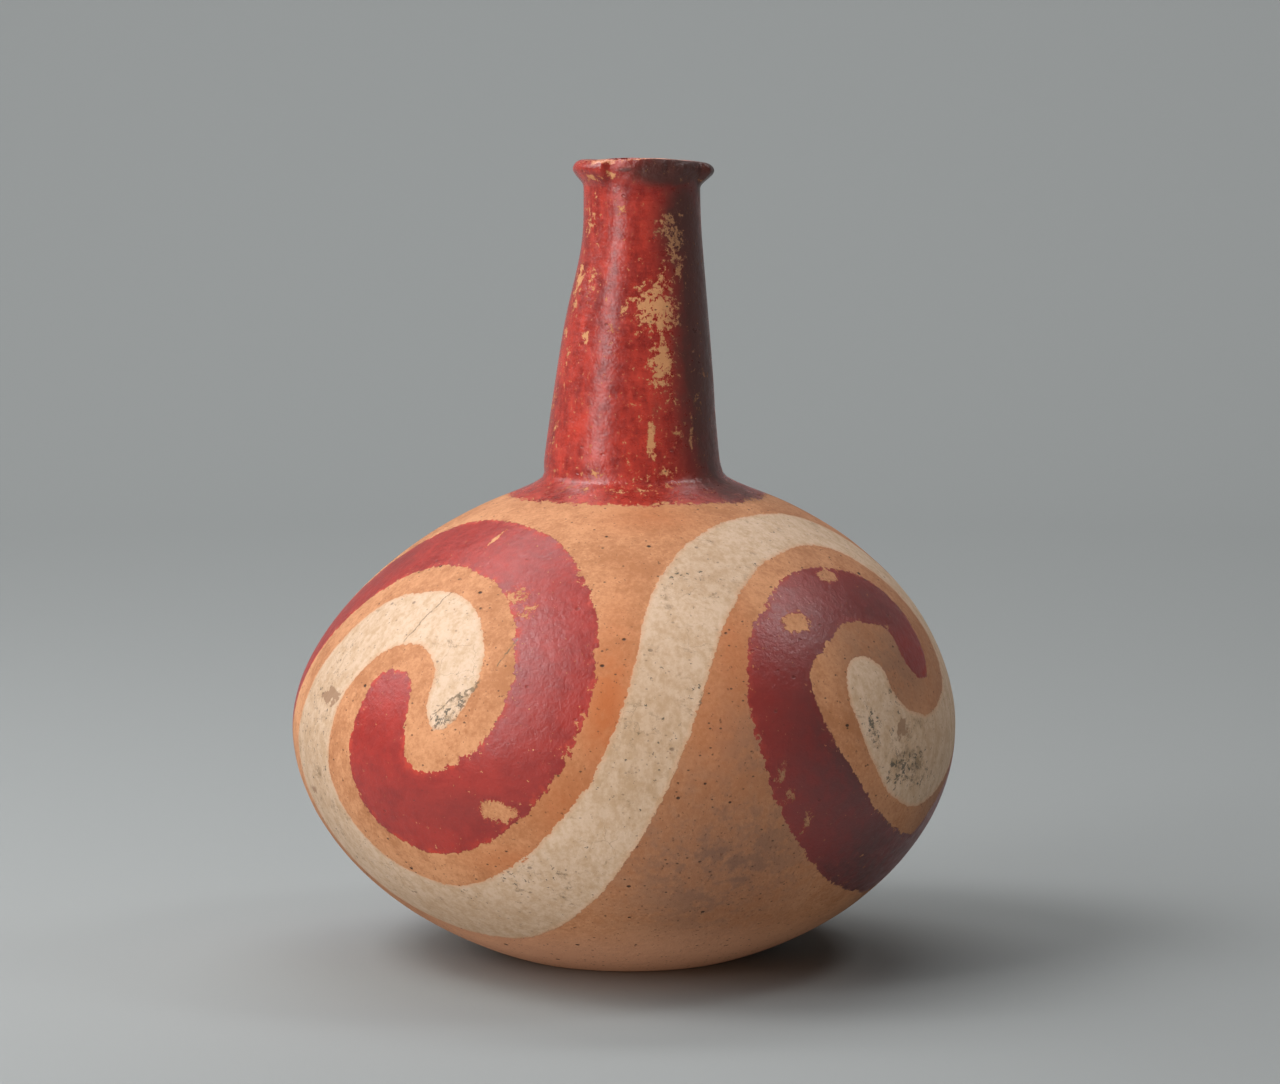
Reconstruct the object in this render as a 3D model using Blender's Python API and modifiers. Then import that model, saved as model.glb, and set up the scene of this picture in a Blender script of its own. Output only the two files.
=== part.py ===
"""A round-bodied pottery bottle with a tall tapering neck and a rolled lip, built by hand.

It is one hollow piece of fired clay with its mouth open. Lengths are in metres and +Z is up. The origin is on
the table, under the middle of the body, and the painted front faces -Y.
"""

import math

import bpy

MM = 0.001

# Heights, each one measured from the top of the one before
BELLY_HEIGHT = 71 * MM
DOME_RISE = 79 * MM
NECK_RISE = 95 * MM
COLLAR_HEIGHT = 14 * MM

# Widths
BODY_DIAMETER = 205 * MM
BASE_DIAMETER = 73 * MM
NECK_ROOT_DIAMETER = 55 * MM
COLLAR_DIAMETER = 36 * MM

# How full the two halves of the body are: 2 is an ellipse, and less is closer to a cone
SHOULDER_FULLNESS = 1.82
UNDERSIDE_FULLNESS = 1.94

# How softly the neck runs into the shoulder, and the taper into the collar
ROOT_BLEND = 11 * MM
COLLAR_BLEND = 1.5 * MM

# The lip, which flares out of the collar and rolls over to the mouth
LIP_OVERHANG = 3.3 * MM
LIP_FLARE = 6 * MM
LIP_ROLL = 2.8 * MM
MOUTH_ROUNDING = 1 * MM

# It is worn thin along the front, and broken off at the right, where a stub of it stands out
LIP_SHARE_LEFT_AT_FRONT = 0.35
LIP_WORN_FROM = math.radians(-50)
LIP_WORN_TO = math.radians(67)
LIP_BREAK_WIDTH = math.radians(8)
STUB_SHARE = 0.28
STUB_ANGLE = math.radians(86)
STUB_HALF_WIDTH = math.radians(13)

# The mouth's edge sinks to the right, and a third as far to the left
RIM_DIP = 1.2 * MM

# Thickness of the clay
BODY_WALL = 6.5 * MM
NECK_WALL = 4.5 * MM
FLOOR = 8 * MM

# The bottle was raised by eye: its axis wanders to the right as it climbs
BASE_SHIFT = 1.5 * MM
SHOULDER_SHIFT = 4.1 * MM
NECK_ROOT_SHIFT = 2.5 * MM
MOUTH_SHIFT = 5.6 * MM
SHOULDER_BELOW_ROOT = 8 * MM
ROOT_SETTLE = 3 * MM

# A shallow hollow pressed into the left side of the neck, below the collar
HOLLOW_DEPTH = 1.8 * MM
HOLLOW_BELOW_MOUTH = 27 * MM
HOLLOW_HALF_HEIGHT = 16.5 * MM
HOLLOW_ANGLE = math.radians(-90)

# How finely the outline and the round are faceted
ROUND_STEPS = 64
BODY_POINTS = 24
ROOT_POINTS = 8
NECK_POINTS = 8
LIP_POINTS = 9
FINE_STEPS = 2000
MERGE = 0.05 * MM

CLAY_COLOUR = (0.56, 0.29, 0.14, 1.0)
CLAY_ROUGHNESS = 0.6

DOME_TOP = BELLY_HEIGHT + DOME_RISE
MOUTH_HEIGHT = DOME_TOP + NECK_RISE
COLLAR_FOOT = MOUTH_HEIGHT - COLLAR_HEIGHT
ROOT_REACH = 2 * ROOT_BLEND
LIP_WIDEST = MOUTH_HEIGHT - LIP_ROLL
LIP_FOOT = LIP_WIDEST - LIP_FLARE


def smooth_max(a, b, blend):
    """The larger of two radii, with the corner where they cross rounded over."""
    overlap = max(blend - abs(a - b), 0.0) / blend
    return max(a, b) + overlap * overlap * blend / 4


def smooth_step(value, low, high):
    """0 below low, 1 above high, and an even curve between them."""
    share = min(max((value - low) / (high - low), 0.0), 1.0)
    return share * share * (3 - 2 * share)


def oval_radius(rise, full_rise, radius, fullness):
    """Radius of a rounded cap at some rise from its widest ring."""
    share = min(abs(rise) / full_rise, 1.0)
    return radius * (1 - share**fullness) ** (1 / fullness)


def underside_depth():
    """How deep the underside would be if the flat base didn't cut it off."""
    cut = (BASE_DIAMETER / BODY_DIAMETER) ** UNDERSIDE_FULLNESS
    return BELLY_HEIGHT / (1 - cut) ** (1 / UNDERSIDE_FULLNESS)


def body_radius(z, inset):
    """Radius of the body, or of its hollow where inset is the wall."""
    radius = BODY_DIAMETER / 2 - inset
    if z >= BELLY_HEIGHT:
        return oval_radius(z - BELLY_HEIGHT, DOME_RISE - inset, radius, SHOULDER_FULLNESS)
    return oval_radius(z - BELLY_HEIGHT, underside_depth() - inset, radius, UNDERSIDE_FULLNESS)


def neck_radius(z, inset):
    """Radius of the neck, or of its bore where inset is the wall."""
    climbed = (z - DOME_TOP) / (COLLAR_FOOT - DOME_TOP)
    taper = (NECK_ROOT_DIAMETER + (COLLAR_DIAMETER - NECK_ROOT_DIAMETER) * climbed) / 2
    return smooth_max(taper, COLLAR_DIAMETER / 2, COLLAR_BLEND) - inset


def joined_radius(z, body_inset, neck_inset):
    """Body and neck run together. They only meet above the widest ring."""
    if z < BELLY_HEIGHT:
        return body_radius(z, body_inset)
    return smooth_max(body_radius(z, body_inset), neck_radius(z, neck_inset), ROOT_BLEND)


def plain_radius(z):
    """The outside, without its lip."""
    return joined_radius(z, 0.0, 0.0)


def outer_radius(z):
    """The outside, with its lip."""
    if z < LIP_WIDEST:
        return plain_radius(z) + LIP_OVERHANG * smooth_step(z, LIP_FOOT, LIP_WIDEST)
    share = min((z - LIP_WIDEST) / LIP_ROLL, 1.0)
    return plain_radius(z) + LIP_OVERHANG * math.sqrt(1 - share * share)


def inner_radius(z):
    """The hollow inside."""
    return joined_radius(z, BODY_WALL, NECK_WALL)


def heights_along(radius_at, low, high, count):
    """Heights that cut an outline into stretches of equal length, from low up to just under high."""
    fine = [low + (high - low) * i / FINE_STEPS for i in range(FINE_STEPS + 1)]
    gone = [0.0]
    for below, above in zip(fine, fine[1:]):
        gone.append(gone[-1] + math.hypot(above - below, radius_at(above) - radius_at(below)))
    heights = []
    index = 0
    for i in range(count):
        while gone[index] < gone[-1] * i / count:
            index += 1
        heights.append(fine[index])
    return heights


def outer_heights():
    root_low = DOME_TOP - ROOT_REACH
    root_high = DOME_TOP + ROOT_REACH
    return (
        heights_along(outer_radius, 0.0, root_low, BODY_POINTS)
        + heights_along(outer_radius, root_low, root_high, ROOT_POINTS)
        + heights_along(outer_radius, root_high, LIP_FOOT, NECK_POINTS)
        + heights_along(outer_radius, LIP_FOOT, MOUTH_HEIGHT, LIP_POINTS)
        + [MOUTH_HEIGHT]
    )


def inner_heights():
    root_low = DOME_TOP - ROOT_REACH
    root_high = DOME_TOP + ROOT_REACH
    top = MOUTH_HEIGHT - MOUTH_ROUNDING
    return (
        heights_along(inner_radius, FLOOR, root_low, BODY_POINTS // 2)
        + heights_along(inner_radius, root_low, root_high, ROOT_POINTS // 2)
        + heights_along(inner_radius, root_high, top, NECK_POINTS // 2)
        + [top]
    )


def outline():
    """(radius, height) points: up the inside from the middle of the floor, over the lip and down the outside."""
    inside = [(inner_radius(z), z) for z in inner_heights()]
    outside = [(outer_radius(z), z) for z in reversed(outer_heights())]
    mouth = (inner_radius(MOUTH_HEIGHT) + MOUTH_ROUNDING, MOUTH_HEIGHT)
    return [(0.0, FLOOR), *inside, mouth, *outside, (0.0, 0.0)]


def axis_shift(z):
    """How far the bottle's own axis stands to the right of the middle of its body."""
    shoulder = DOME_TOP - SHOULDER_BELOW_ROOT
    settled = DOME_TOP + ROOT_SETTLE
    shift = BASE_SHIFT * (1 - smooth_step(z, 0.0, BELLY_HEIGHT))
    shift += SHOULDER_SHIFT * smooth_step(z, BELLY_HEIGHT, shoulder)
    shift += (NECK_ROOT_SHIFT - SHOULDER_SHIFT) * smooth_step(z, shoulder, settled)
    lean = (MOUTH_SHIFT - NECK_ROOT_SHIFT) / (MOUTH_HEIGHT - settled)
    return shift + lean * max(z - settled, 0.0)


def hollow_depth(z, angle):
    """Depth of the pressed hollow on the neck. The angle is 0 at the front and turns to the right."""
    rise = (z - (MOUTH_HEIGHT - HOLLOW_BELOW_MOUTH)) / HOLLOW_HALF_HEIGHT
    facing = max(math.cos(angle - HOLLOW_ANGLE), 0.0)
    return HOLLOW_DEPTH * math.exp(-rise * rise) * facing * facing


def lip_share(angle):
    """How much of the lip's overhang is left, where 1 is an unworn lip."""
    worn = smooth_step(angle, LIP_WORN_FROM, 0.0)
    worn *= 1 - smooth_step(angle, LIP_WORN_TO, LIP_WORN_TO + LIP_BREAK_WIDTH)
    stub = ((angle - STUB_ANGLE) / STUB_HALF_WIDTH) ** 2
    return 1 - (1 - LIP_SHARE_LEFT_AT_FRONT) * worn + STUB_SHARE * math.exp(-stub)


def rim_drop(z, angle):
    """How far the collar and lip sink at the sides."""
    side = math.sin(angle)
    return RIM_DIP * side * side * (2 + side) / 3 * smooth_step(z, COLLAR_FOOT, MOUTH_HEIGHT)


def made_by_hand(x, y, z):
    """A point of the true round shape, moved to where the potter's hands left it."""
    radius = math.hypot(x, y)
    if radius == 0:
        return x + axis_shift(z), y, z
    angle = math.atan2(x, -y)
    overhang = min(outer_radius(z) - plain_radius(z), max(radius - plain_radius(z), 0.0))
    moved = radius - hollow_depth(z, angle) - overhang * (1 - lip_share(angle))
    return x * moved / radius + axis_shift(z), y * moved / radius, z - rim_drop(z, angle)


def clay():
    material = bpy.data.materials.new("slipped_earthenware")
    material.use_nodes = True
    shader = material.node_tree.nodes["Principled BSDF"]
    shader.inputs["Base Color"].default_value = CLAY_COLOUR
    shader.inputs["Roughness"].default_value = CLAY_ROUGHNESS
    shader.inputs["Metallic"].default_value = 0.0
    return material


def turned(name, points, collection):
    """A mesh object made by turning an outline round Z."""
    profile = bpy.data.meshes.new(name + "_outline")
    edges = [(i, i + 1) for i in range(len(points) - 1)]
    profile.from_pydata([(radius, 0.0, z) for radius, z in points], edges, [])
    wheel = bpy.data.objects.new(name + "_wheel", profile)
    collection.objects.link(wheel)
    screw = wheel.modifiers.new("Turn", "SCREW")
    screw.axis = "Z"
    screw.steps = ROUND_STEPS
    screw.render_steps = ROUND_STEPS
    screw.use_merge_vertices = True
    screw.merge_threshold = MERGE
    screw.use_normal_calculate = True
    graph = bpy.context.evaluated_depsgraph_get()
    mesh = bpy.data.meshes.new_from_object(wheel.evaluated_get(graph))
    bpy.data.objects.remove(wheel)
    mesh.name = name
    made = bpy.data.objects.new(name, mesh)
    collection.objects.link(made)
    return made


def build_bottle(collection):
    bottle = turned("bottle", outline(), collection)
    for vertex in bottle.data.vertices:
        vertex.co = made_by_hand(*vertex.co)
    bottle.data.materials.append(clay())
    bottle.data.shade_smooth()
    bottle.data.set_sharp_from_angle(angle=math.radians(40))
    return bottle


def main():
    for old in list(bpy.data.objects):
        bpy.data.objects.remove(old)
    collection = bpy.data.collections.new("pottery_bottle")
    bpy.context.scene.collection.children.link(collection)
    build_bottle(collection)


main()
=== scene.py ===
"""The looks of the pottery bottle: its fine surface, its painted slip with its wear, and the studio."""

import math

import bmesh
import bpy
import numpy as np
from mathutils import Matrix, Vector, noise


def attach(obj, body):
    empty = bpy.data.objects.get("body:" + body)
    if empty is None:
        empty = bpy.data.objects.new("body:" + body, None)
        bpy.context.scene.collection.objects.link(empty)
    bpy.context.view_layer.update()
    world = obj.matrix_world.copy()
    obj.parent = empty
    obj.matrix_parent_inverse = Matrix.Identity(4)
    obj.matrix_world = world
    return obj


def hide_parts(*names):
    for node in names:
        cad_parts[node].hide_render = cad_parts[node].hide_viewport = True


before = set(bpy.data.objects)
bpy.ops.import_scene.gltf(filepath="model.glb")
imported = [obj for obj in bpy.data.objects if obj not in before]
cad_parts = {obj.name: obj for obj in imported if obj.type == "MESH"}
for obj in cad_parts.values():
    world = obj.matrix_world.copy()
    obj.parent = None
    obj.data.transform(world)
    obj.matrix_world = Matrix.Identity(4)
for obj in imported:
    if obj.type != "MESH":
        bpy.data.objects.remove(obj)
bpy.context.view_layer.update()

MM = 0.001

# A distance in mm that lies beyond every painted edge
FAR_AWAY = 1000.0

# The bottle's form, the same values as its CAD source
BELLY_HEIGHT = 71 * MM
DOME_RISE = 79 * MM
NECK_RISE = 95 * MM
COLLAR_HEIGHT = 14 * MM
BODY_DIAMETER = 205 * MM
BASE_DIAMETER = 73 * MM
NECK_ROOT_DIAMETER = 55 * MM
COLLAR_DIAMETER = 36 * MM
SHOULDER_FULLNESS = 1.82
UNDERSIDE_FULLNESS = 1.94
ROOT_BLEND = 11 * MM
COLLAR_BLEND = 1.5 * MM
LIP_OVERHANG = 3.3 * MM
LIP_FLARE = 6 * MM
LIP_ROLL = 2.8 * MM
MOUTH_ROUNDING = 1 * MM
STUB_SHARE = 0.28
STUB_ANGLE = math.radians(86)
STUB_HALF_WIDTH = math.radians(13)
RIM_DIP = 1.2 * MM
BODY_WALL = 6.5 * MM
NECK_WALL = 4.5 * MM
FLOOR = 8 * MM
BASE_SHIFT = 1.5 * MM
SHOULDER_SHIFT = 4.1 * MM
NECK_ROOT_SHIFT = 2.5 * MM
MOUTH_SHIFT = 5.6 * MM
SHOULDER_BELOW_ROOT = 8 * MM
ROOT_SETTLE = 3 * MM
HOLLOW_DEPTH = 1.8 * MM
HOLLOW_BELOW_MOUTH = 27 * MM
HOLLOW_HALF_HEIGHT = 16.5 * MM
HOLLOW_ANGLE = math.radians(-90)

DOME_TOP = BELLY_HEIGHT + DOME_RISE
MOUTH_HEIGHT = DOME_TOP + NECK_RISE
COLLAR_FOOT = MOUTH_HEIGHT - COLLAR_HEIGHT
LIP_WIDEST = MOUTH_HEIGHT - LIP_ROLL
LIP_FOOT = LIP_WIDEST - LIP_FLARE

# What only the fine surface has: the unevenness of a hand-made wall, and the rough break of the lip
ROUND_STEPS = 336
SURFACE_STEP = 1.8 * MM
LIP_STEP = 0.5 * MM
INSIDE_STEP = 5 * MM
BROAD_WAVE = 34 * MM
BROAD_DEPTH = 0.45 * MM
DENT_WAVE = 11 * MM
DENT_DEPTH = 0.16 * MM
RIM_WAVE = 9 * MM
RIM_WAVE_DEPTH = 0.4 * MM
LIP_SHARE_LEFT = 0.2
LIP_BROKEN_FROM = math.radians(-37)
LIP_BROKEN_TO = math.radians(69)
LIP_BREAK_WIDTH = math.radians(6)
BREAK_WAVE = 3.5 * MM
BREAK_DEPTH = 0.5 * MM
RESTING_BAND = 7 * MM
OUTLINE_SAMPLES = 4000
SEED_STEPS = (7.3, 3.1, 5.7)
BROAD_SEED = 1
DENT_SEED = 2
BREAK_SEED = 3
RIM_SEED = 5

# The painted bands: (azimuth in degrees, height in mm, half-width in mm) along the middle of each stroke.
# Azimuth 0 is the front and turns to the right. There are four scrolls, a quarter turn apart, and four
# bands, white and red in turn. Each band starts inside one scroll and ends inside the next.
QUARTER = 90
WHITE_START = [
    (-32.5, 83.5, 3.2), (-31.8, 89, 6.6), (-31.3, 96, 7.8), (-33.5, 104, 8.6), (-40, 110, 9.6),
    (-48, 110.6, 10.0), (-57.5, 105.5, 11.6), (-63.5, 92, 12.2), (-65.5, 78, 13.2), (-66.5, 62, 13.6),
    (-64, 46, 14.0), (-57, 32, 14.2), (-48, 25.5, 14.4), (-40, 23, 14.2), (-30, 23.4, 14.2),
    (-20, 29, 13.4), (-10, 40.5, 12.2),
]
WHITE_END = [
    (-1.2, 60, 10.8), (4.2, 80, 10.4), (7.6, 98, 10.8), (11, 114, 11.6), (18, 125, 11.2), (28, 131, 10.2),
    (40, 133.6, 9.4), (52, 134.4, 8.8), (63, 133.4, 9.0), (74, 129, 9.4), (82, 119, 10), (85.5, 106, 10.5),
    (85, 92, 11.5), (80, 78, 12), (72, 69.5, 13.4), (63.5, 66, 14), (56, 69, 13.4), (50.5, 77, 11.4),
    (47.8, 86, 10.2), (47.3, 91, 9.5),
]
RED_START = [
    (65, 97.6, 8.0), (65.3, 106, 9.2), (61.5, 113, 9.8), (54.5, 116, 10.6), (46, 116.8, 10.9),
    (39.5, 114.6, 11.2), (33.5, 109.5, 10.8), (29, 102.5, 10.4), (27.6, 94, 10.6), (28.1, 85, 11.3),
    (29.9, 75, 12.1), (33.4, 64, 12.9), (38.6, 53, 12.9), (45.2, 43.8, 12.6), (53, 37.5, 12.0),
    (61, 34.2, 11.4), (70, 34, 11.4),
]
RED_END = [
    (-91, 60, 10.8), (-87, 78, 10.4), (-85, 96, 10.6), (-81.5, 111, 11.6), (-75, 122, 12.2),
    (-66, 128.3, 12.4), (-56, 130.6, 11.9), (-46, 131.0, 11.4), (-37, 129.6, 11.4), (-28, 127.0, 11.6),
    (-20.5, 121, 11.6), (-15.4, 112.5, 12.0), (-13.2, 102, 12.3), (-13.2, 90, 12.4), (-15.9, 77.5, 12.2),
    (-20.8, 66.5, 12.1), (-28, 58.4, 12.8), (-36, 55.6, 13.4), (-42.6, 60.5, 13.2), (-44.9, 70, 12.6),
    (-45.2, 80, 11.0), (-44.8, 88.3, 9.3),
]
STROKE_SAMPLES = 6
SLIP_EDGE_ON_SHOULDER = 141.8 * MM
SLIP_INSIDE_MOUTH = 9 * MM

# Clouds of wear and stain, some also carrying painted shade: (azimuth in degrees, height in mm, half-angle
# in degrees, half-height in mm, strength)
BARE_ON_BODY = [
    (-22.0, 58.6, 2.3, 3.3, 1.15), (-19.8, 57.8, 2.1, 2.8, 1.15), (34.5, 110.5, 3.4, 2.8, 1.15),
    (51, 121.6, 3.4, 1.9, 1.1), (60, 106, 1.4, 1.1, 0.8), (-45, 132.4, 0.9, 2.4, 1.0),
    (-26, 118, 4.5, 3.2, 0.62), (-22, 114, 2.4, 2.6, 0.6), (-8.6, 68, 1.6, 2.2, 0.62),
    (-12, 58, 2.2, 1.4, 0.55), (26.5, 69, 1.1, 5, 0.66), (28.5, 62, 1.2, 3, 0.62),
    (32.5, 54, 1.2, 5, 0.64), (49, 40, 0.8, 0.7, 0.9), (-2, 145.6, 14, 0.8, 0.46),
    (-30, 146, 12, 1.0, 0.42), (24, 147, 12, 1.2, 0.42), (-24.5, 98, 1.6, 4, 0.42), (150, 60, 4, 5, 0.85),
    (118, 128, 5, 3, 0.6), (-150, 95, 3, 3, 0.8), (196, 118, 3.5, 2, 0.9), (-118, 70, 2, 8, 0.5),
]
BARE_ON_NECK = [
    (10, 203, 15, 4.2, 0.72), (16, 199.5, 17, 6.5, 0.95), (20, 207, 8, 4.5, 0.56), (3, 201, 6, 4, 0.6),
    (21, 184, 9, 6.0, 0.92), (20, 178, 7, 4.0, 0.62), (27, 173, 7, 3.5, 0.5), (32, 221, 12, 7, 0.7),
    (38, 214, 7, 5, 0.55), (24, 226, 9, 2.5, 0.5), (12.5, 160.5, 3.2, 5.0, 0.98), (14, 156, 4, 1.6, 0.7),
    (-66, 208, 9, 6, 0.74), (-64, 200, 5, 3.0, 0.62), (-44, 208, 4, 3.4, 0.64),
    (-42, 191, 4.4, 2.0, 0.78), (-76, 192, 6, 2.2, 0.6), (-80, 170, 8, 3.0, 0.56), (-62, 183, 3, 4, 0.5),
    (-66, 162, 4, 5, 0.46), (-20, 230, 14, 2.0, 0.42), (-58, 226, 12, 5, 0.46), (-8, 199, 4, 2.6, 0.52),
    (34, 163, 5, 2, 0.6), (44, 160, 4, 4, 0.55), (49, 172, 5, 4, 0.5), (60, 180, 6, 2, 0.5),
    (22, 151, 16, 1.0, 0.5), (4, 149, 9, 0.8, 0.62), (-50, 239.8, 9, 1.2, 0.8), (-29, 240.2, 4, 1.2, 0.7),
    (-49, 234, 5, 2.0, 0.5), (-26, 150, 10, 0.9, 0.46), (110, 180, 9, 8, 0.56), (160, 205, 12, 6, 0.62),
    (-130, 190, 10, 9, 0.56), (-160, 165, 8, 4, 0.56),
]
RAGGED_EDGE = [
    (-6, 103, 3, 4, 0.8), (-6.5, 87, 4, 7, 1.0), (-10, 76, 4, 5, 1.0), (-14, 67, 4, 4, 0.9),
    (-15, 59, 3, 3, 0.6), (-12, 124, 4, 4, 0.5), (-25, 107, 4, 3.5, 0.8),
    (-26, 72, 4, 5, 0.5), (-17, 40, 4, 4, 0.8), (21.5, 82, 3, 10, 0.5), (23, 66, 3, 8, 0.5),
    (29, 113, 4, 4, 0.6), (60, 122, 8, 4, 0.4), (-55, 116, 8, 4, 0.4), (120, 70, 14, 30, 0.6),
    (-160, 80, 20, 20, 0.5), (-100, 100, 10, 20, 0.4),
]
# Soot on the neck and lip, with painted shade: the neck's right side is darkened past its soot, and (-15,
# 241.8) is a thin painted shadow line beneath the lip's overhang
SOOT_AND_SHADE_ON_NECK = [
    (60, 195, 36, 76, 1.0), (34, 241.5, 50, 6.5, 1.2), (84, 241, 30, 9, 1.3), (-15, 241.8, 13, 1.0, 0.8),
    (46, 226, 32, 20, 1.0), (32, 222, 24, 18, 0.7), (58, 150, 28, 10, 0.5), (40, 215, 22, 14, 0.7),
    (-8, 222, 5, 5, 0.3), (16, 168, 6, 8, 0.35),
]
# Smoke on the red slip, strengthened into painted shade low on the right side, away from the lights
SMOKE_AND_SHADE_ON_RED = [
    (44, 76, 26, 50, 1.0), (52, 36, 34, 40, 1.0), (58, 112, 22, 14, 0.8), (-14, 80, 12, 40, 0.25),
    (-22, 58, 22, 8, 0.35), (150, 60, 40, 40, 0.6),
]
# Smoke clouds on the bare clay, made darker as painted shade on the lower right side, away from the lights
SMOKE_AND_SHADE_ON_CLAY = [
    (18, 42, 24, 36, 1.0), (40, 44, 20, 26, 0.5), (24, 72, 12, 26, 0.8), (58, 96, 14, 18, 0.75),
    (75, 60, 18, 60, 0.6), (8, 12, 50, 10, 0.3), (50, 92, 10, 26, 0.75), (170, 50, 40, 30, 0.6),
]
BURNT_CLAY = [
    (-3, 88, 5, 24, 1.0), (-7, 58, 8, 16, 1.0), (-16, 42, 12, 6, 0.7), (20, 100, 5, 18, 0.7),
    (16, 84, 7, 20, 0.5), (5, 139, 18, 4, 0.5), (-110, 60, 14, 30, 0.6), (100, 100, 14, 30, 0.5),
]
DIRT_ON_WHITE = [
    (55, 66, 7, 7, 1.2), (46, 80, 2.6, 7, 1.15), (54, 88, 2.4, 7, 0.9), (51, 72, 9, 14, 0.5),
    (62, 62, 6, 6, 0.7), (-31.5, 84.5, 4, 3.6, 1.3), (-28.8, 89.5, 2.2, 4, 1.1), (-20, 37, 7, 5, 0.65),
    (-12, 36, 6, 7, 0.55), (-33, 30, 8, 3, 0.35), (12.8, 91, 1.4, 5, 1.2), (3, 78, 9, 26, 0.25),
    (-65, 70, 14, 34, 0.4), (14, 122, 9, 6, 0.45), (-62, 96, 6, 8, 0.5), (160, 60, 10, 14, 0.8),
    (-140, 110, 12, 8, 0.5),
]
AGED_WHITE = [
    (3, 80, 14, 36, 0.75), (16, 124, 14, 10, 0.55), (-67, 70, 16, 40, 0.6), (-30, 22, 40, 12, 0.6),
    (62, 70, 16, 26, 0.6), (-8, 40, 12, 12, 0.4), (140, 90, 60, 60, 0.7), (-140, 60, 50, 50, 0.6),
]
BROWN_SPOTS = [
    (-61.5, 85.5, 3.6, 2.6, 1.0), (-69, 56, 3, 1.6, 0.6), (54.3, 77.5, 2.0, 2.6, 1.0),
]
PALE_RIM = [
    (-36, 245, 24, 1.6, 1.0), (-8, 245, 12, 0.7, 0.8), (-66, 244.5, 10, 1.6, 0.7), (150, 245, 40, 1.4, 0.9),
    (-130, 245, 24, 1.2, 0.7),
]

# Scratches, as the azimuth and height of their two ends. Their widths and distances are in mm.
SCRATCHES = [
    ((-43.5, 117), (-46.75, 105)), ((-27, 94.5), (-33, 86)), ((-27.5, 92), (-30.5, 88.5)),
    ((-22, 106), (-23.5, 100.5)),
]
SCRATCH_HALF_WIDTH = 0.24
SCRATCH_WAVER = 0.5
SCRATCH_ENDS = 1.2
SCRATCH_GONE = 2.4
SCRATCH_REACH = 6.0

# Painted bounce light: the clay low on the body is painted paler, standing in for light thrown up from the
# floor
UNDERSIDE_BOUNCE_LIGHT = 0.85
UNDERSIDE_BOUNCE_LIGHT_FROM = 6 * MM
UNDERSIDE_BOUNCE_LIGHT_TO = 24 * MM

# The grain of the surface: the wavelengths of its noise, and the ways in which it is stretched
BLOTCH_WAVE = 24 * MM
MOTTLE_WAVE = 4.4 * MM
FINE_WAVE = 1.25 * MM
LUMP_WAVE = 2.6 * MM
WIPED_WAVE = 2.4 * MM
UPRIGHT_WAVE = 2.8 * MM
SPECK_WAVE = 1.1 * MM
SMUDGE_WAVE = 6 * MM
GRIME_WAVE = 1.9 * MM
SAND_WAVE = 0.9 * MM
ROUND_THE_WALL = (0.35, 0.35, 1.0)
UP_THE_WALL = (1.0, 1.0, 0.3)
SLANTING = (0.6, 0.6, 1.0)
SQUAT = (0.65, 0.65, 1.0)

# The edges of the slips. The wobble, the fringe and the soft edges are in mm.
WOBBLE_WAVE = 8 * MM
BITE_WAVE = 3 * MM
FLAKE_WAVE = 2.2 * MM
FLECK_WAVE = 1.5 * MM
EDGE_WOBBLE = 0.4
EDGE_FRINGE = 0.45
SOFT_EDGE_RED = 0.12
SOFT_EDGE_WHITE = 0.15

# Pits, as their spacing, their radius and the share of places that have one, and hair cracks
LARGE_PITS = (4.6 * MM, 0.5 * MM, 0.7)
SMALL_PITS = (2 * MM, 0.3 * MM, 0.9)
PIT_SHARE_FADE = 0.2
PIT_EDGE_OUT = 0.15
PIT_EDGE_IN = 0.35
CRACK_SPACING = 9 * MM
CRACK_WIDTH = 0.13 * MM
CRACK_BEND_WAVE = 2.2 * MM
CRACK_BEND = 3 * MM

# The relief of the material, in mm
SAND_RELIEF = 0.014
LUMP_RELIEF = 0.036
WHITE_SLIP_THICKNESS = 0.06
RED_SLIP_THICKNESS = 0.09
PIT_DEPTH = 0.4
BREAK_RELIEF = 0.08

# Gloss: bare clay and white slip are dull, red slip is burnished, most of all on the neck
SPECULAR_LEVEL = 0.55
DULL_ROUGHNESS = 0.8
RED_ROUGHNESS = 0.4
NECK_ROUGHNESS = 0.28

# Colours, as 0 to 255 screen values
CLAY_LIGHT = (200, 142, 100)
CLAY_DEEP = (166, 108, 69)
CLAY_BURNT = (176, 96, 48)
# Smoked clay, darkened further as painted shade for the lower right
CLAY_SMOKED_AND_SHADED = (120, 86, 68)
CLAY_SPECK = (92, 56, 36)
CLAY_INSIDE = (136, 96, 68)
# Painted bounce light: the paler clay colour near the base
CLAY_BOUNCE_LIT = (212, 156, 122)
WHITE_CLEAN = (207, 179, 154)
WHITE_WORN = (186, 154, 122)
WHITE_AGED = (166, 134, 102)
WHITE_SMUDGE = (126, 102, 76)
WHITE_GRIME = (74, 68, 58)
WHITE_STAINED = (142, 108, 82)
WHITE_LINE = (104, 86, 64)
RED_BRIGHT = (162, 48, 40)
RED_DEEP = (134, 38, 34)
RED_THIN = (196, 66, 42)
# Smoked red, darkened further as painted shade for the right side
RED_SMOKED_AND_SHADED = (84, 48, 46)
NECK_BRIGHT = (180, 60, 47)
NECK_DEEP = (116, 35, 31)
# Soot with painted shade: the dark colour of the neck's right side and of the line beneath the lip
NECK_SOOT_AND_SHADE = (70, 42, 37)
NECK_FLAKE = (188, 132, 88)
# Flakes darkened by soot and by painted shade on the neck's right side
FLAKE_SOOT_AND_SHADE = (116, 80, 58)
RIM_WORN = (208, 138, 106)
PIT_DARK = (44, 28, 20)
PAPER_GREY = (157, 160, 160)

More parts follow.
